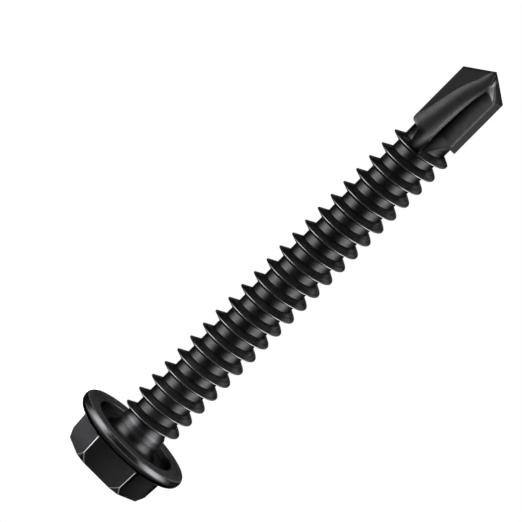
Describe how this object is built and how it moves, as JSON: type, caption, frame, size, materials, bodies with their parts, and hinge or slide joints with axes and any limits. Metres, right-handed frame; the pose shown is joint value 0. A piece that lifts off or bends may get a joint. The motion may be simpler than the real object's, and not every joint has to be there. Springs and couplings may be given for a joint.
{
  "type": "self drilling screw",
  "caption": "Self drilling screw with a hexagon washer head, a coarse right-hand thread and a fluted drill point.",
  "frame": {"origin": "centre of the end of the head, on the surface that the screw stands on", "axes": "+Z along the axis, from the head to the drill point; two corners of the hexagon lie on the X axis, and -Y is the side that the picture shows"},
  "size_m": [0.0128, 0.0128, 0.0554],
  "materials": {
    "black_coated_steel": "satin black coating on hardened steel, with brighter worn edges"
  },
  "bodies": {
    "root": {"screw": "black_coated_steel"}
  },
  "joints": []
}
